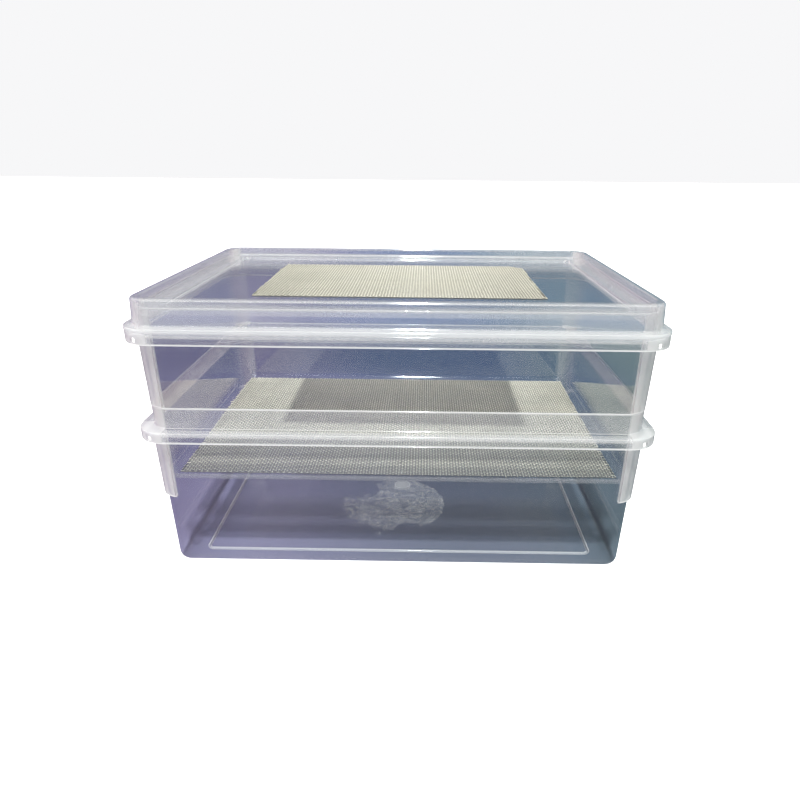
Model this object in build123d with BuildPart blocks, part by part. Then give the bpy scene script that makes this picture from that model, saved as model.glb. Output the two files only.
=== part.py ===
"""Insect breeding box: two nested clear tubs of one moulding, a press-on lid and two gauze windows.

Millimetres, +Z up, +X along the length. The origin is in the middle of the face the box stands on.
Every outline is a rounded rectangle, given by how far it is set in from the edge of the tub's flange.
"""
from build123d import *
import os
from math import cos, radians, sin, tan

os.makedirs("parts", exist_ok=True)

# Flange round the tub, and the skirt that turns down from its edge
flange_length = 300.0
flange_width = 207.0
flange_corner = 18.0
flange_level = 94.5
flange_thickness = 2.2
flange_round = 0.7
skirt_depth = 4.4
skirt_wall = 1.2
skirt_round = 0.35

# Tub walls, which end in a lip above the flange
tub_wall = 1.4
draft = 1.8
lip_inset = 6.9
lip_corner = 13.0
lip_rise = 12.5
lip_round = 0.35
lip_root_round = 0.8
base_round = 5.0

# Foot ring under the floor
foot_inset = 24.4
foot_corner = 5.0
foot_width = 2.0
foot_height = 1.0
foot_round = 0.35

# Corner posts, whose lower ends are the ledges that a nested tub rests on
nest_clearance = 0.415
post_reach = 17.3
post_stand = 0.1
post_round = 0.6

# Drain slots through the skirt, one near each corner
slot_width = 3.2
slot_height = 2.8
slot_corner = 0.7
slot_angle = 62.0
slot_gap = 0.4

# Lid
lid_wall = 1.1
lid_draft = 2.8
lid_skirt_inset = 4.4
lid_head_room = 4.0
lid_plug_clearance = 0.2
ring_thickness = 2.4
ring_overhang = 0.3
ring_round = 0.8
ring_blend = 2.0
rim_round = 2.0
rim_inner_round = 1.2
rim_drop = 5.9
border_width = 10.0
border_blend = 0.8
panel_drop = 1.5
panel_corner = 6.0
panel_draft = 12.0
panel_round = 0.4

# Windows and the gauze over them
wire = 0.4
floor_window_margin = 2.2
floor_window_corner = 8.0
floor_gauze_gap_x = 0.8
floor_gauze_gap_y = 2.3
floor_gauze_columns = 20
floor_gauze_rows = 13
lid_window_length = 160.0
lid_window_width = 94.0
lid_window_corner = 8.0
lid_gauze_overlap = 9.0
lid_gauze_columns = 20
lid_gauze_rows = 13
lid_gauze_cut_corner = 14.0
gauze_bar = 1.8
gauze_border = 2.5

# Worked out from the sizes above
tub_height = flange_level + lip_rise
flange_bottom = flange_level - flange_thickness
skirt_bottom = flange_bottom - skirt_depth
floor_top = foot_height + tub_wall
slope = tan(radians(draft))
slant_wall = tub_wall / cos(radians(draft))
nest_step = (slant_wall + nest_clearance) / slope
ledge_level = tub_height - nest_step
lid_base = nest_step + flange_level
lid_height = lip_rise + lid_head_room + lid_wall
plug_inset = lip_inset + slant_wall + slope * rim_drop + lid_plug_clearance
rim_inner_inset = plug_inset + lid_wall
border_level = lid_height - rim_drop
panel_inset = rim_inner_inset + border_width
panel_level = border_level - panel_drop
gauze_thickness = 2 * wire
flat_floor_inset = lip_inset + slope * (tub_height - floor_top) + slant_wall + base_round - tub_wall
floor_gauze_length = flange_length - 2 * (flat_floor_inset + floor_gauze_gap_x)
floor_gauze_width = flange_width - 2 * (flat_floor_inset + floor_gauze_gap_y)
lid_gauze_length = lid_window_length + 2 * lid_gauze_overlap
lid_gauze_width = lid_window_width + 2 * lid_gauze_overlap


def outline(inset, corner, mode=Mode.ADD):
    """Draw a rounded rectangle, set in from the flange's edge, in the sketch that is open."""
    RectangleRounded(flange_length - 2 * inset, flange_width - 2 * inset, corner, mode=mode)


def wall_inset(height):
    """How far the tub's outer wall is set in at a height above the face it stands on."""
    return lip_inset + slope * (tub_height - height)


def wall_corner(height):
    """Corner radius of the tub's outer wall at a height above the face it stands on."""
    return lip_corner - slope * (tub_height - height)


def flat_edges(part, height):
    """The edges of a part that lie flat at one height."""
    return part.edges().filter_by_position(Axis.Z, height - 0.01, height + 0.01)


def new_flat_edges(part, height):
    """The edges that the last step left lying flat at one height."""
    return part.edges(Select.LAST).filter_by_position(Axis.Z, height - 0.01, height + 0.01)


def corner_posts(base):
    """The thick posts that stand in a tub's corners, from the ledges up to the flange."""
    height = flange_bottom - ledge_level
    with BuildPart() as posts:
        with BuildSketch(Plane.XY.offset(base + ledge_level)):
            outline(lip_inset - post_stand, lip_corner)
        extrude(amount=height, taper=-draft)
        fillet(flat_edges(posts, base + ledge_level), post_round)
        with BuildSketch(Plane.XY.offset(base + ledge_level)):
            Rectangle(flange_length, flange_width)
            with GridLocations(flange_length - post_reach, flange_width - post_reach, 2, 2):
                Rectangle(post_reach, post_reach, mode=Mode.SUBTRACT)
        extrude(amount=height, mode=Mode.SUBTRACT)
    return posts.part


def tub_inside(base):
    """The room inside a tub, from its floor up to its lip."""
    with BuildPart() as inside:
        with BuildSketch(Plane.XY.offset(base + floor_top)):
            outline(wall_inset(floor_top) + slant_wall, wall_corner(floor_top) - slant_wall)
        extrude(amount=tub_height - floor_top, taper=-draft)
        fillet(flat_edges(inside, base + floor_top), base_round - tub_wall)
    return inside.part


def tub_moulding(base):
    """The tub that both trays are moulded as, with its lowest face at the height base."""
    posts = corner_posts(base)
    inside = tub_inside(base)
    with BuildPart() as tub:
        # Flange plate, with the skirt turned down from its edge
        with BuildSketch(Plane.XY.offset(base + flange_bottom)):
            outline(0, flange_corner)
        extrude(amount=flange_thickness)
        fillet(flat_edges(tub, base + flange_level), flange_round)
        with BuildSketch(Plane.XY.offset(base + skirt_bottom)):
            outline(0, flange_corner)
            outline(skirt_wall, flange_corner - skirt_wall, Mode.SUBTRACT)
        extrude(amount=skirt_depth)
        fillet(flat_edges(tub, base + skirt_bottom), skirt_round)

        # Walls, still solid, with the rounded lower edge
        with BuildSketch(Plane.XY.offset(base + foot_height)):
            outline(wall_inset(foot_height), wall_corner(foot_height))
        extrude(amount=tub_height - foot_height, taper=-draft)
        fillet(new_flat_edges(tub, base + flange_level), lip_root_round)
        fillet(flat_edges(tub, base + foot_height), base_round)
        add(posts)

        # Foot ring
        with BuildSketch(Plane.XY.offset(base)):
            outline(foot_inset, foot_corner)
            outline(foot_inset + foot_width, foot_corner - foot_width, Mode.SUBTRACT)
        extrude(amount=foot_height)
        fillet(flat_edges(tub, base), foot_round)

        # Inside, open at the top, with the lip's edges rounded
        add(inside, mode=Mode.SUBTRACT)
        fillet(flat_edges(tub, base + tub_height), lip_round)

        # Drain slots through the skirt
        slot_level = base + flange_bottom - slot_gap - slot_height / 2
        for side_x in (-1, 1):
            for side_y in (-1, 1):
                run_x = cos(radians(slot_angle)) * side_x
                run_y = sin(radians(slot_angle)) * side_y
                centre_x = (flange_length / 2 - flange_corner) * side_x
                centre_y = (flange_width / 2 - flange_corner) * side_y
                start = flange_corner - 2 * skirt_wall
                face = Plane(origin=(centre_x + start * run_x, centre_y + start * run_y, slot_level),
                             x_dir=(-run_y, run_x, 0), z_dir=(run_x, run_y, 0))
                with BuildSketch(face):
                    RectangleRounded(slot_width, slot_height, slot_corner)
                extrude(amount=3 * skirt_wall, mode=Mode.SUBTRACT)
    return tub.part


def gauze_sheet(level, length, width, columns, rows, cut_corner=0.0):
    """A flat sheet of gauze with its lower face at a height, and one far corner cut round."""
    pitch_x = (length - 2 * gauze_border + gauze_bar) / columns
    pitch_y = (width - 2 * gauze_border + gauze_bar) / rows
    cells = [cell for cell in GridLocations(pitch_x, pitch_y, columns, rows)
             if not (cell.position.X > length / 2 - cut_corner and cell.position.Y > width / 2 - cut_corner)]
    with BuildPart() as sheet:
        with BuildSketch(Plane.XY.offset(level)) as net:
            Rectangle(length, width)
            if cut_corner > 0:
                fillet(net.vertices().group_by(Axis.X)[-1].sort_by(Axis.Y)[-1], cut_corner)
            with Locations(cells):
                Rectangle(pitch_x - gauze_bar, pitch_y - gauze_bar, mode=Mode.SUBTRACT)
        extrude(amount=gauze_thickness)
    return sheet.part


# Lower tub, the catch box
lower_tub_solid = tub_moulding(0)
with BuildPart() as lower_tub:
    add(lower_tub_solid)
lower_tub.part.label = "lower_tub"

# Upper tub, with a window cut out of its floor inside the foot ring
upper_tub_solid = tub_moulding(nest_step)
with BuildPart() as upper_tub:
    add(upper_tub_solid)
    with BuildSketch(Plane.XY.offset(nest_step)):
        outline(foot_inset + foot_width + floor_window_margin, floor_window_corner)
    extrude(amount=floor_top, mode=Mode.SUBTRACT)
upper_tub.part.label = "upper_tub"

# Lid
with BuildPart() as lid:
    # Ring that lies on the upper tub's flange
    with BuildSketch(Plane.XY.offset(lid_base)):
        outline(-ring_overhang, flange_corner + ring_overhang)
    extrude(amount=ring_thickness)
    fillet(flat_edges(lid, lid_base) + flat_edges(lid, lid_base + ring_thickness), ring_round)

    # Skirt, still solid, up to the top of the rim
    with BuildSketch(Plane.XY.offset(lid_base)):
        outline(lid_skirt_inset, flange_corner - lid_skirt_inset)
    extrude(amount=lid_height, taper=lid_draft)
    fillet(new_flat_edges(lid, lid_base + ring_thickness), ring_blend)
    fillet(flat_edges(lid, lid_base + lid_height), rim_round)

    # Room for the lip, and the plug that hangs inside it
    with BuildSketch(Plane.XY.offset(lid_base)):
        outline(lid_skirt_inset + lid_wall, flange_corner - lid_skirt_inset - lid_wall)
    extrude(amount=lid_height - lid_wall, taper=lid_draft, mode=Mode.SUBTRACT)
    fillet(new_flat_edges(lid, lid_base + lid_height - lid_wall), rim_round - lid_wall)
    with BuildSketch(Plane.XY.offset(lid_base + border_level - lid_wall)):
        outline(plug_inset, lip_corner - plug_inset + lip_inset)
    extrude(amount=rim_drop)
    with BuildSketch(Plane.XY.offset(lid_base + panel_level - lid_wall)):
        outline(panel_inset - lid_wall, panel_corner + lid_wall)
    extrude(amount=panel_drop)

    # Hollow inside the rim, down to the border
    with BuildSketch(Plane.XY.offset(lid_base + border_level)):
        outline(rim_inner_inset, lip_corner - rim_inner_inset + lip_inset)
    extrude(amount=rim_drop, mode=Mode.SUBTRACT)
    fillet(new_flat_edges(lid, lid_base + lid_height), rim_inner_round)
    fillet(flat_edges(lid, lid_base + border_level), border_blend)

    # Sunk panel with its window
    with BuildSketch(Plane.XY.offset(lid_base + panel_level)):
        outline(panel_inset, panel_corner)
    extrude(amount=panel_drop, taper=-panel_draft, mode=Mode.SUBTRACT)
    fillet(new_flat_edges(lid, lid_base + border_level) + new_flat_edges(lid, lid_base + panel_level), panel_round)
    with BuildSketch(Plane.XY.offset(lid_base + panel_level - lid_wall)):
        RectangleRounded(lid_window_length, lid_window_width, lid_window_corner)
    extrude(amount=lid_wall, mode=Mode.SUBTRACT)
lid.part.label = "lid"

# Gauze over the upper tub's window, on its floor
floor_gauze_solid = gauze_sheet(nest_step + floor_top, floor_gauze_length, floor_gauze_width,
                                floor_gauze_columns, floor_gauze_rows)
with BuildPart() as floor_gauze:
    add(floor_gauze_solid)
floor_gauze.part.label = "floor_gauze"

# Gauze over the lid's window, on its panel
lid_gauze_solid = gauze_sheet(lid_base + panel_level, lid_gauze_length, lid_gauze_width,
                              lid_gauze_columns, lid_gauze_rows, lid_gauze_cut_corner)
with BuildPart() as lid_gauze:
    add(lid_gauze_solid)
lid_gauze.part.label = "lid_gauze"

export_step(lower_tub.part, "parts/lower_tub.step")
export_step(upper_tub.part, "parts/upper_tub.step")
export_step(lid.part, "parts/lid.step")
export_step(floor_gauze.part, "parts/floor_gauze.step")
export_step(lid_gauze.part, "parts/lid_gauze.step")
print("nest step", round(nest_step, 2), "ledge level", round(ledge_level, 2))
print("lid base", round(lid_base, 2), "overall height", round(lid_base + lid_height, 2))
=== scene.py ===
"""Insect breeding box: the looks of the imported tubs, lid and gauze, the photograph's camera and a studio.

Metres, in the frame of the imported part: +X along the length, +Z up, origin under the middle of the box.
"""
import math

import bpy
import numpy as np
from mathutils import Matrix, Vector


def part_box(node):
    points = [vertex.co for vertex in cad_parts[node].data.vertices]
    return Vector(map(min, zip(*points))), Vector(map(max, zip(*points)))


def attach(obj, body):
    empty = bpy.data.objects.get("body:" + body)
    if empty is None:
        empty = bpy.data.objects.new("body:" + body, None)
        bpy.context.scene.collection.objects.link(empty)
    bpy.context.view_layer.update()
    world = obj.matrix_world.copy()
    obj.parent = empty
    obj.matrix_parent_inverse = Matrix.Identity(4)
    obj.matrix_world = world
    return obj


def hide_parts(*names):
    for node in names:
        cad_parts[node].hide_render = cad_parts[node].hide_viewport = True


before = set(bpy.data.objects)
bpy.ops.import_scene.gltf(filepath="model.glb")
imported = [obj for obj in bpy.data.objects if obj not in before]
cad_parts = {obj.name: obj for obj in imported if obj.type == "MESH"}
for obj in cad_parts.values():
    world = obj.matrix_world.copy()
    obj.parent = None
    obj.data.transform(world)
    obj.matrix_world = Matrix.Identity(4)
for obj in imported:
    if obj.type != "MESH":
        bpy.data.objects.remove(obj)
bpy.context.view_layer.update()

MM = 0.001

# Camera, as fitted to the edges and corners in the photograph's 800 by 800 pixel frame
frame_pixels = 800
focal_pixels = 617.36
centre_pixels = (415.84, 402.77)
sensor_width = 36
camera_place = (14.11 * MM, -416.80 * MM, 241.55 * MM)
camera_pitch = 0.383
camera_yaw = -0.010
camera_roll = 0.009

# Clear polypropylene: how much of its cloudiness passes light on, and how much of it casts no shadow
refraction = 1.49
cloud_colour = (0.57, 0.575, 0.575)
clear_colour = (0.98, 0.987, 0.995)
thin_wall_milk = 0.007
cloud_through = 0.45
cloud_unshadowed = 0.7

# Heights on a tub above the face it stands on
floor_level = 2.6 * MM
foot_level = 5 * MM
ledge_level = 49.2 * MM
skirt_level = 87.9 * MM
flange_level = 94.5 * MM
lip_level = 107.0 * MM

# How far a tub's flange and corner posts reach in from its sides, and where its front foot and side lips are
flange_reach = 5 * MM
post_reach = 17.3 * MM
front_foot = -86.3 * MM
side_lip_place = 135 * MM

# Marks on the lower tub's floor
patch_centre = (-3 * MM, -21 * MM)
patch_radius = 35 * MM
bite_centre = (6 * MM, -55 * MM)
bite_radius = 9 * MM
notch_centre = (-36 * MM, 4 * MM)
notch_radius = 19 * MM
gate_centre = (0.0, 6 * MM)
gate_radius = 5.2 * MM

# Heights on the lid above its lowest edge, and how far its rim reaches in from its sides
ring_level = 2.3 * MM
shelf_level = 11.0 * MM
crest_level = 15.0 * MM
rim_reach = 20.2 * MM
brink_reach = 21.0 * MM

# Woven gauze
wire = 0.76 * MM
gauze_pitch = 1.8 * MM
weave_lift = 0.17 * MM
ragged_cut = 0.4 * MM
cut_corner = 14 * MM
weave_seed = 7
wire_colour = {"floor_gauze": (1.0, 0.96, 0.79), "lid_gauze": (0.56, 0.545, 0.45)}

# The sun-like lamp, in degrees
sun_elevation = 66
sun_turn = -1.5
sun_width = 3

# The long lamp that the plastic mirrors: its height over its distance, and half its height and width
lamp_tilt = 1.15
lamp_half_height = 0.12
lamp_half_width = 0.62


def make_camera():
    """The photograph's camera: place, tilt, focal length and the small shift of its centre."""
    data = bpy.data.cameras.new("photo_camera")
    data.sensor_width = sensor_width
    data.lens = focal_pixels / frame_pixels * sensor_width
    data.shift_x = (frame_pixels / 2 - centre_pixels[0]) / frame_pixels
    data.shift_y = (centre_pixels[1] - frame_pixels / 2) / frame_pixels
    data.clip_start = 0.01
    forward = Vector((math.sin(camera_yaw) * math.cos(camera_pitch),
                      math.cos(camera_yaw) * math.cos(camera_pitch),
                      -math.sin(camera_pitch)))
    level = Vector((math.cos(camera_yaw), -math.sin(camera_yaw), 0))
    upright = level.cross(forward)
    right = math.cos(camera_roll) * level + math.sin(camera_roll) * upright
    up = right.cross(forward)
    camera = bpy.data.objects.new("photo_camera", data)
    camera.matrix_world = Matrix((right, up, -forward)).transposed().to_4x4()
    camera.location = camera_place
    bpy.context.scene.collection.objects.link(camera)
    bpy.context.scene.camera = camera


class Nodes:
    """The node tree of a material or a world, with short ways to add nodes and sums."""

    def __init__(self, owner):
        owner.use_nodes = True
        self.owner = owner
        self.tree = owner.node_tree
        self.tree.nodes.clear()

    def add(self, kind, inputs=(), **settings):
        """A node of one kind, with its settings and its inputs as values or sockets."""
        node = self.tree.nodes.new(kind)
        for key, value in settings.items():
            setattr(node, key, value)
        for key, value in dict(inputs).items():
            self.put(node.inputs[key], value)
        return node

    def put(self, socket, value):
        """Links a socket to another, or sets its value."""
        if isinstance(value, bpy.types.NodeSocket):
            self.tree.links.new(value, socket)
        elif isinstance(value, tuple) and len(value) == 3 and socket.type == "RGBA":
            socket.default_value = (*value, 1)
        else:
            socket.default_value = value

    def math(self, operation, *values):
        """The result of a sum on values or sockets."""
        return self.add("ShaderNodeMath", dict(enumerate(values)), operation=operation).outputs[0]

    def times(self, first, *others):
        """The product of two or more values or sockets."""
        for other in others:
            first = self.math("MULTIPLY", first, other)
        return first

    def ramp(self, value, low, high, to_low=0.0, to_high=1.0):
        """A smooth step from one output at low to another at high."""
        node = self.add("ShaderNodeMapRange", {"Value": value, "From Min": low, "From Max": high,
                                               "To Min": to_low, "To Max": to_high},
                        interpolation_type="SMOOTHSTEP")
        return node.outputs[0]

    def blend(self, share, first, second):
        """A colour part of the way from the first to the second."""
        node = self.add("ShaderNodeMix", data_type="RGBA")
        self.put(node.inputs[0], share)
        self.put(node.inputs[6], first)
        self.put(node.inputs[7], second)
        return node.outputs[2]

    def fade(self, value, low, high, first, second):
        """The first colour up to low, the second from high, and a smooth change between."""
        return self.blend(self.ramp(value, low, high), first, second)

    def distance(self, x, y, centre):
        """How far a place is from an upright line through centre."""
        off_x = self.math("SUBTRACT", x, centre[0])
        off_y = self.math("SUBTRACT", y, centre[1])
        return self.math("SQRT", self.math("ADD", self.times(off_x, off_x), self.times(off_y, off_y)))

    def place(self, kind="Object"):
        """A coordinate and its X, Y and Z: on the object's own mesh in metres, or of another kind."""
        coordinate = self.add("ShaderNodeTexCoord").outputs[kind]
        x, y, z = self.add("ShaderNodeSeparateXYZ", {0: coordinate}).outputs
        return coordinate, x, y, z

    def finish(self, shader):
        """The material, with a shader on its surface."""
        self.add("ShaderNodeOutputMaterial", {"Surface": shader})
        return self.owner


def clear_plastic(name, milkiness_and_highlights):
    """Clear polypropylene: see-through, glossy, and cloudy by the share that milk(nodes, x, y, z) gives."""
    nodes = Nodes(bpy.data.materials.new(name))
    coordinate, x, y, z = nodes.place()
    ripple = nodes.add("ShaderNodeTexNoise", {"Vector": coordinate, "Scale": 45.0, "Detail": 2.0})
    bump = nodes.add("ShaderNodeBump", {"Height": ripple.outputs[0], "Strength": 0.04, "Distance": 0.001})
    normal = bump.outputs[0]
    shadow = nodes.add("ShaderNodeLightPath").outputs["Is Shadow Ray"]
    kept = nodes.math("SUBTRACT", 1.0, nodes.times(shadow, cloud_unshadowed))
    # The share is the plastic's real cloudiness, with painted highlights along its edges added in.
    share = nodes.times(milkiness_and_highlights(nodes, x, y, z), kept)
    diffuse = nodes.add("ShaderNodeBsdfDiffuse", {"Color": cloud_colour, "Normal": normal})
    through = nodes.add("ShaderNodeBsdfTranslucent", {"Color": cloud_colour, "Normal": normal})
    cloud = nodes.add("ShaderNodeMixShader", {0: cloud_through, 1: diffuse.outputs[0], 2: through.outputs[0]})
    clear = nodes.add("ShaderNodeBsdfTransparent", {"Color": clear_colour})
    body = nodes.add("ShaderNodeMixShader", {0: share, 1: clear.outputs[0], 2: cloud.outputs[0]})
    inside = nodes.add("ShaderNodeNewGeometry").outputs["Backfacing"]
    index = nodes.math("ADD", refraction, nodes.times(inside, 1 / refraction - refraction))
    mirror = nodes.add("ShaderNodeFresnel", {"IOR": index, "Normal": normal}).outputs[0]
    gloss = nodes.add("ShaderNodeBsdfAnisotropic",
                      {"Color": (1.0, 1.0, 1.0), "Roughness": 0.06, "Normal": normal})
    whole = nodes.add("ShaderNodeMixShader", {0: mirror, 1: body.outputs[0], 2: gloss.outputs[0]})
    return nodes.finish(whole.outputs[0])


def lean(nodes, up):
    """How far the surface leans: 0 on level and upright faces, and 1 halfway between."""
    square = nodes.times(up, up)
    return nodes.times(square, 4.0, nodes.math("SUBTRACT", 1.0, square))


def beyond(nodes, x, y, reach_x, reach_y):
    """1 outside a rectangle round the middle of the box, and 0 inside it."""
    step = 0.2 * MM
    return nodes.math("MAXIMUM", nodes.ramp(nodes.math("ABSOLUTE", x), reach_x - step, reach_x + step),
                      nodes.ramp(nodes.math("ABSOLUTE", y), reach_y - step, reach_y + step))


def most(nodes, *shares):
    """The greatest of several shares, each given as a mask and how much it counts."""
    result = thin_wall_milk
    for mask, amount in shares:
        result = nodes.math("MAXIMUM", result, nodes.times(mask, amount))
    return result


def tub_milkiness_and_highlights(base, length, width, lowest):
    """Milkiness of a tub that stands at the height base: its rim and posts are thick, its walls thin, and its
    edges carry painted highlights.

    lowest is true for the lower tub. Its lip and foot ring show more, the front edge of its foot shows less,
    and its floor has the gate's marks.
    """
    lip_share = 0.14 if lowest else 0.085
    ring_share = 0.75 if lowest else 0.08
    foot_share = 0.03 if lowest else 0.17

    def milkiness_and_highlights(nodes, x, y, z):
        level = nodes.math("SUBTRACT", z, base)
        up = nodes.place("Normal")[3]
        far_x = nodes.math("ABSOLUTE", x)
        far_y = nodes.math("ABSOLUTE", y)
        outside = beyond(nodes, x, y, length / 2 - flange_reach, width / 2 - flange_reach)
        rim = nodes.ramp(level, skirt_level - 1.5 * MM, skirt_level - 0.5 * MM)
        plate = nodes.times(outside, nodes.ramp(level, flange_level - 2.8 * MM, flange_level - 2.4 * MM))
        corner = nodes.times(
            nodes.ramp(far_x, length / 2 - post_reach - 0.6 * MM, length / 2 - post_reach),
            nodes.ramp(far_y, width / 2 - post_reach - 0.6 * MM, width / 2 - post_reach))
        fainter_behind = nodes.ramp(y, -50 * MM, 50 * MM, 1.0, 0.30)
        post = nodes.times(corner, nodes.ramp(level, ledge_level - 1 * MM, ledge_level + 0.5 * MM),
                           fainter_behind)
        ledge = nodes.times(corner, nodes.math("COMPARE", level, ledge_level, 0.9 * MM))
        ring = nodes.times(nodes.ramp(level, 0.98 * MM, 0.9 * MM), nodes.ramp(up, -0.98, -0.9))
        foot = nodes.times(nodes.ramp(y, front_foot, front_foot - 0.4 * MM),
                           nodes.ramp(level, foot_level + 1 * MM, foot_level))
        side_lip = nodes.times(nodes.ramp(far_x, side_lip_place, side_lip_place + 1 * MM),
                               nodes.ramp(level, flange_level - 0.2 * MM, flange_level + 0.2 * MM))
        lip = nodes.ramp(level, flange_level - 0.1 * MM, flange_level + 0.3 * MM)
        # Painted highlights: the lip's and skirt's edges and the leaning faces of the rim get extra
        # cloudiness, partly for their real thickness and partly for the bright lines light draws along them.
        lip_edge_highlight = nodes.ramp(level, lip_level - 1.0 * MM, lip_level - 0.7 * MM)
        skirt_edge_highlight = nodes.times(outside, nodes.ramp(level, skirt_level + 0.9 * MM, skirt_level + 0.6 * MM),
                                 rim)
        rim_edge_highlight = nodes.times(lean(nodes, up), rim)
        share = most(nodes, (rim, 0.045), (lip, lip_share), (plate, 0.32), (post, 0.50), (ledge, 0.7),
                     (side_lip, 0.42), (ring, ring_share), (foot, foot_share), (lip_edge_highlight, 0.55),
                     (skirt_edge_highlight, 0.75), (rim_edge_highlight, 0.45))
        if lowest:
            share = nodes.math("MAXIMUM", share, gate_marks(nodes, x, y, level, up))
        return share
    return milkiness_and_highlights


def gate_marks(nodes, x, y, level, up):
    """The dull scuffed patch round the moulding gate, and the gate's own small disc, on the tub's floor.

    The patch is a torn disc with a bite and a ragged notch out of its edge.
    """
    floor = nodes.times(nodes.ramp(level, floor_level + 0.4 * MM, floor_level), nodes.ramp(up, 0.9, 0.98))
    noise = nodes.add("ShaderNodeTexNoise", {"Scale": 42.0, "Detail": 4.0, "Roughness": 0.6})
    ragged = nodes.math("SUBTRACT", noise.outputs[0], 0.5)
    torn = nodes.times(ragged, nodes.ramp(x, 0, -20 * MM, 6 * MM, 60 * MM))
    edge = nodes.math("SUBTRACT", nodes.distance(x, y, patch_centre), torn)
    bite = nodes.distance(x, y, bite_centre)
    notch = nodes.math("ADD", nodes.distance(x, y, notch_centre), nodes.times(ragged, 50 * MM))
    patch = nodes.times(nodes.ramp(edge, patch_radius, patch_radius - 0.6 * MM),
                        nodes.ramp(bite, bite_radius, bite_radius + 0.5 * MM),
                        nodes.ramp(notch, notch_radius, notch_radius + 0.6 * MM))
    streaks = nodes.add("ShaderNodeTexNoise",
                        {"Scale": 30.0, "Detail": 8.0, "Roughness": 0.7, "Distortion": 2.0})
    border = nodes.times(nodes.math("COMPARE", edge, patch_radius - 1.3 * MM, 0.8 * MM), 0.12)
    dull = nodes.math("ADD", nodes.ramp(streaks.outputs[0], 0.45, 0.60, 0.05, 0.40), border)
    reach = nodes.distance(x, y, gate_centre)
    disc = nodes.ramp(reach, gate_radius, gate_radius - 0.6 * MM, 0.0, 0.42)
    rim = nodes.times(nodes.math("COMPARE", reach, gate_radius + 0.4 * MM, 0.5 * MM), 0.6)
    marks = nodes.math("MAXIMUM", nodes.math("MAXIMUM", nodes.times(patch, dull), disc), rim)
    return nodes.times(floor, marks)


def lid_milkiness_and_highlights(base, length, width):
    """Milkiness of the lid: its ring and rim are thick, its sunk panel is clear, and its edges and round
    corners carry painted highlights.
    """
    def milkiness_and_highlights(nodes, x, y, z):
        level = nodes.math("SUBTRACT", z, base)
        _, across, along, up = nodes.place("Normal")
        # Painted highlight: the border's round corners, where the face turns halfway between X and Y, get
        # extra cloudiness for the light gathered in their curve.
        turn = nodes.times(nodes.times(across, across), nodes.times(along, along), 4.0)
        border = beyond(nodes, x, y, length / 2 - rim_reach, width / 2 - rim_reach)
        band = nodes.ramp(nodes.math("ABSOLUTE", x), 30 * MM, 110 * MM, 0.035, 0.13)
        ring = nodes.ramp(level, ring_level + 0.6 * MM, ring_level)
        crest = nodes.ramp(level, crest_level, crest_level + 1.0 * MM)
        # Painted highlights: the brink line and the leaning faces of the border get extra cloudiness, partly
        # for their real thickness and partly for the bright lines light draws along them.
        brink_highlight = beyond(nodes, x, y, length / 2 - brink_reach, width / 2 - brink_reach)
        brink_highlight = nodes.math("SUBTRACT", brink_highlight, border)
        shelf = nodes.times(border, nodes.math("COMPARE", level, shelf_level, 2.0 * MM))
        border_edge_highlight = nodes.times(lean(nodes, up), border)
        return most(nodes, (ring, 0.42), (crest, 0.13), (border, band), (shelf, 0.20), (brink_highlight, 0.68),
                    (border_edge_highlight, 0.36), (nodes.times(turn, border), 0.50), (1.0, 0.045))
    return milkiness_and_highlights


def mesh_piece(name, points, faces, body, material):
    """A mesh object that rides on a body."""
    mesh = bpy.data.meshes.new(name)
    mesh.from_pydata(points, [], faces)
    mesh.polygons.foreach_set("use_smooth", [True] * len(mesh.polygons))
    mesh.materials.append(material)
    mesh.update()
    piece = bpy.data.objects.new(name, mesh)
    bpy.context.scene.collection.objects.link(piece)
    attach(piece, body)
    return piece


def woven_wires(count, crossings, start, end, level, along, sides, seed):
    """Points and faces of parallel wires that weave over and under the ones that cross them.

    along is 0 for wires that run along X and 1 for wires along Y. Each wire is a thin tube with one ring at
    every crossing, lifted and lowered in turn. start and end give where a wire at some place is cut.
    """
    chance = np.random.default_rng(seed)
    radius = wire / 2
    angles = math.pi / 2 + np.arange(sides) * 2 * math.pi / sides
    ring_side = np.cos(angles) * radius
    ring_up = np.sin(angles) * radius
    middle = (count - 1) / 2
    step = (crossings - 1) / 2
    points = []
    faces = []
    for number in range(count):
        place = (number - middle) * gauze_pitch
        first = start(place) + chance.normal(0, ragged_cut)
        last = end(place) + chance.normal(0, ragged_cut)
        runs = [((index - step) * gauze_pitch, 1 if (index + number + along) % 2 else -1)
                for index in range(crossings)]
        runs = [(run, sign) for run, sign in runs if first <= run <= last]
        if len(runs) < 2:
            continue
        runs = [(first, runs[0][1])] + runs + [(last, runs[-1][1])]
        base = len(points)
        for run, sign in runs:
            height = level + sign * weave_lift
            for side, up in zip(ring_side, ring_up):
                across = place + side
                points.append((run, across, height + up) if along == 0 else (across, run, height + up))
        for ring in range(len(runs) - 1):
            here = base + ring * sides
            for side in range(sides):
                after = (side + 1) % sides
                face = (here + side, here + after, here + sides + after, here + sides + side)
                faces.append(face if along == 0 else face[::-1])
        for here, way in ((base, -1), (base + (len(runs) - 1) * sides, 1)):
            cap = tuple(here + side for side in range(sides))
            faces.append(cap[::way if along == 0 else -way])
    return points, faces


def gauze_cut(node, along, half):
    """Where a gauze's wires start and end: cut by hand, a little bowed, one far corner of the lid's round."""
    wide = half.x if along == 1 else half.y
    reach = half.y if along == 1 else half.x
    corner = cut_corner if node == "lid_gauze" else 0.0

    def short(phase):
        """How far a cut falls short of the sheet's edge, 0.1 to 1.9 mm."""
        return (1.0 - math.sin(phase) * 0.9) * MM

    def start(place):
        return -reach + short(place / wide * 2.1 + 0.6)

    def end(place):
        cut = reach - short(place / wide * 1.7 - 0.9 + along)
        past = place - (wide - corner)
        if corner and past > 0:
            cut -= corner - math.sqrt(max(corner ** 2 - past ** 2, 0))
        return cut
    return start, end


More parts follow.
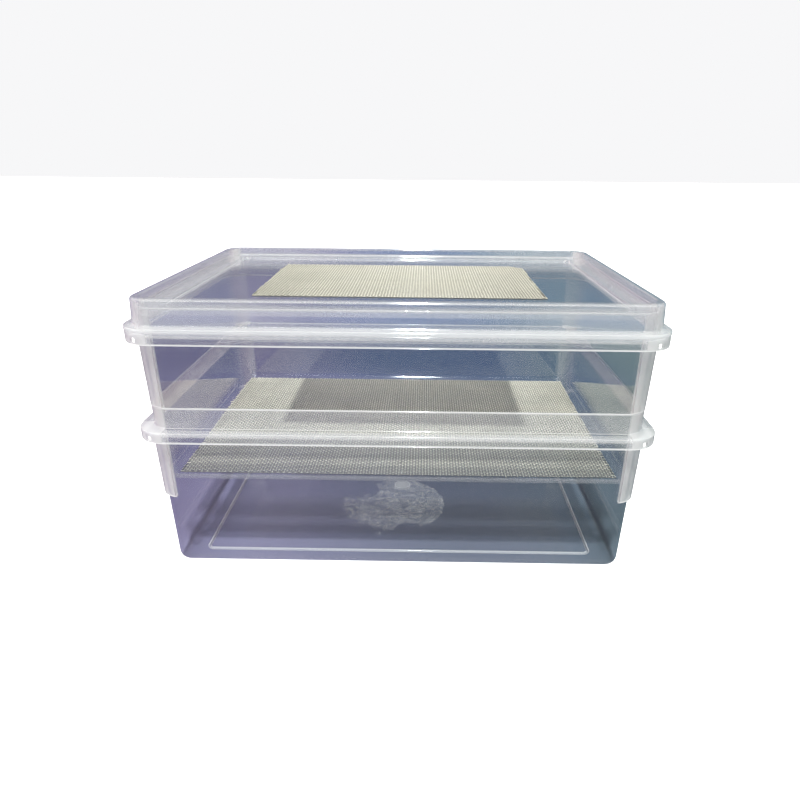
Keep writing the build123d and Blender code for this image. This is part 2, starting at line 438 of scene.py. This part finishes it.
def steel_wire(name, level, along, low, high):
    """Warm stainless wire: darker where it dips under the others, which is painted shade, and each wire of
    its own brightness.
    """
    nodes = Nodes(bpy.data.materials.new(name))
    coordinate, x, y, z = nodes.place()
    number = nodes.math("ROUND", nodes.math("DIVIDE", y if along == 0 else x, gauze_pitch))
    chance = nodes.add("ShaderNodeTexWhiteNoise", {"W": number}, noise_dimensions="1D").outputs["Value"]
    patches = nodes.add("ShaderNodeTexNoise", {"Vector": coordinate, "Scale": 35.0, "Detail": 3.0})
    patches = patches.outputs[0]
    crest = level + wire / 2
    # Painted shade: the colour goes from low where the wire dips under the crossing wires to high at its
    # crest.
    shaded_tone = nodes.fade(z, crest - 1.2 * weave_lift, crest + 0.6 * weave_lift, low, high)
    dullest = 0.88 if along == 0 else 0.78
    shade = nodes.times(nodes.ramp(chance, 0.0, 1.0, dullest, 1.0),
                        nodes.ramp(patches, 0.3, 0.7, 0.88, 1.0))
    shaded_tone = nodes.blend(shade, (0.02, 0.02, 0.02), shaded_tone)
    rough = nodes.ramp(patches, 0.3, 0.7, 0.30, 0.42)
    looks = {"Base Color": shaded_tone, "Metallic": 0.15, "Roughness": rough}
    shader = nodes.add("ShaderNodeBsdfPrincipled", looks)
    return nodes.finish(shader.outputs[0])


def studio_slate(nodes, direction, distance):
    """The dark room that the plastic shows and mirrors: purple on the left, teal on the right, blue far off.

    direction is the place across the room, and distance the place into it.
    """
    near_purple = (0.076, 0.068, 0.118)
    near_lilac = (0.140, 0.135, 0.205)
    near_blue = (0.098, 0.108, 0.145)
    near_teal = (0.070, 0.095, 0.110)
    near_dark = (0.044, 0.060, 0.074)
    near = nodes.fade(direction, -0.18, -0.10, near_purple, near_lilac)
    near = nodes.fade(direction, -0.10, 0.05, near, near_blue)
    near = nodes.fade(direction, 0.05, 0.20, near, near_teal)
    near = nodes.fade(direction, 0.11, 0.18, near, near_dark)
    far_purple = (0.053, 0.048, 0.083)
    far_blue = (0.011, 0.026, 0.062)
    far_teal = (0.062, 0.086, 0.084)
    far = nodes.fade(direction, -0.22, -0.03, far_purple, far_blue)
    far = nodes.fade(direction, 0.09, 0.30, far, far_teal)
    haze_purple = (0.095, 0.090, 0.155)
    haze_blue = (0.034, 0.062, 0.135)
    haze_teal = (0.060, 0.100, 0.135)
    haze = nodes.fade(direction, -0.30, 0.0, haze_purple, haze_blue)
    haze = nodes.fade(direction, 0.0, 0.30, haze, haze_teal)
    far = nodes.fade(distance, 0.40, 0.55, far, haze)
    return nodes.fade(distance, 0.05, 0.35, near, far)


def seen_in_plastic(nodes):
    """1 for what is seen through the plastic or mirrored in it, 0 for what is seen directly or lights it."""
    path = nodes.add("ShaderNodeLightPath")
    through = nodes.math("GREATER_THAN", path.outputs["Transparent Depth"], 0.5)
    through = nodes.times(through, path.outputs["Is Camera Ray"])
    return nodes.math("MAXIMUM", through, path.outputs["Is Glossy Ray"])


def pale_floor():
    """The floor: pale where it is seen, and slate where it is seen through the plastic or mirrored in it."""
    nodes = Nodes(bpy.data.materials.new("pale_floor"))
    _, x, y, _ = nodes.place()
    colour = nodes.blend(seen_in_plastic(nodes), (0.85, 0.85, 0.86), studio_slate(nodes, x, y))
    shader = nodes.add("ShaderNodeBsdfDiffuse", {"Color": colour})
    return nodes.finish(shader.outputs[0])


def studio_world():
    """Soft light from all round, pinker from the left and greener from the right.

    The plastic mirrors it as a dark room with one long lamp above the front.
    """
    pink = (3.10, 1.98, 2.25)
    green = (0.11, 0.18, 0.15)
    backdrop = (0.93, 0.93, 0.94)
    lamp_light = (4.0, 4.0, 4.0)
    world = bpy.data.worlds.new("studio")
    bpy.context.scene.world = world
    nodes = Nodes(world)
    _, x, y, z = nodes.place("Generated")
    soft = nodes.fade(x, -0.95, -0.35, pink, green)
    ambient = nodes.blend(nodes.add("ShaderNodeLightPath").outputs["Is Camera Ray"], soft, backdrop)
    tilt = nodes.math("DIVIDE", z, nodes.math("MAXIMUM", nodes.times(y, -1.0), 0.01))
    lamp = nodes.times(nodes.math("COMPARE", tilt, lamp_tilt, lamp_half_height),
                       nodes.math("COMPARE", x, 0.0, lamp_half_width), nodes.math("LESS_THAN", y, 0.0))
    room = nodes.blend(lamp, studio_slate(nodes, x, y), lamp_light)
    colour = nodes.blend(seen_in_plastic(nodes), ambient, room)
    light = nodes.add("ShaderNodeBackground", {"Color": colour, "Strength": 1.0})
    nodes.add("ShaderNodeOutputWorld", {"Surface": light.outputs[0]})


def dress_plastic(node):
    """Gives a tub or the lid its plastic."""
    low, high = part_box(node)
    size = high - low
    if node == "lid":
        milkiness_and_highlights = lid_milkiness_and_highlights(low.z, size.x, size.y)
    else:
        milkiness_and_highlights = tub_milkiness_and_highlights(low.z, size.x, size.y, node == "lower_tub")
    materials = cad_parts[node].data.materials
    materials.clear()
    materials.append(clear_plastic(node + "_plastic", milkiness_and_highlights))


def weave_gauze(node, body, sides):
    """Puts two sets of woven wires in the place of a flat net. sides is how many sides a wire has."""
    low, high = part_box(node)
    half = (high - low) / 2
    level = (low.z + high.z) / 2
    rows = int(2 * half.y / gauze_pitch)
    columns = int(2 * half.x / gauze_pitch)
    bright = wire_colour[node]
    # Each set's second colour is painted shade where its wires dip under the others; its third is the wires'
    # own colour at their crests.
    long_wires = ("_long_wires", tuple(part * 0.13 for part in bright), tuple(part * 0.92 for part in bright))
    cross_wires = ("_cross_wires", (0.06, 0.06, 0.055), bright)
    sets = ((0, rows, columns, long_wires), (1, columns, rows, cross_wires))
    for along, count, crossings, (ending, dip_shade, top) in sets:
        start, end = gauze_cut(node, along, half)
        points, faces = woven_wires(count, crossings, start, end, level, along, sides, weave_seed + along)
        name = node + ending
        steel = steel_wire(name + "_steel", level, along, dip_shade, top)
        piece = mesh_piece(name, points, faces, body, steel)
        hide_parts(node)


def make_floor():
    """A wide level floor under the box."""
    reach = 6
    corners = [(-reach, -reach, 0), (reach, -reach, 0), (reach, reach, 0), (-reach, reach, 0)]
    mesh = bpy.data.meshes.new("floor")
    mesh.from_pydata(corners, [], [(0, 1, 2, 3)])
    mesh.materials.append(pale_floor())
    floor = bpy.data.objects.new("floor", mesh)
    bpy.context.scene.collection.objects.link(floor)


def make_sun():
    """The lamp that throws the lid gauze's crisp shadow on the floor gauze."""
    data = bpy.data.lights.new("key", "SUN")
    data.energy = 9.0
    data.color = (0.98, 1.0, 0.965)
    data.angle = math.radians(sun_width)
    sun = bpy.data.objects.new("key", data)
    sun.rotation_euler = (math.radians(90 - sun_elevation), 0, math.radians(sun_turn))
    bpy.context.scene.collection.objects.link(sun)


make_camera()
dress_plastic("lower_tub")
dress_plastic("upper_tub")
dress_plastic("lid")
weave_gauze("floor_gauze", "upper_tub", 3)
weave_gauze("lid_gauze", "lid", 4)
make_floor()
make_sun()
studio_world()

scene = bpy.context.scene
scene.view_settings.view_transform = "Standard"
scene.cycles.max_bounces = 8
scene.cycles.transparent_max_bounces = 48
scene.cycles.sample_clamp_indirect = 1.0
scene.cycles.denoising_input_passes = "RGB_ALBEDO_NORMAL"
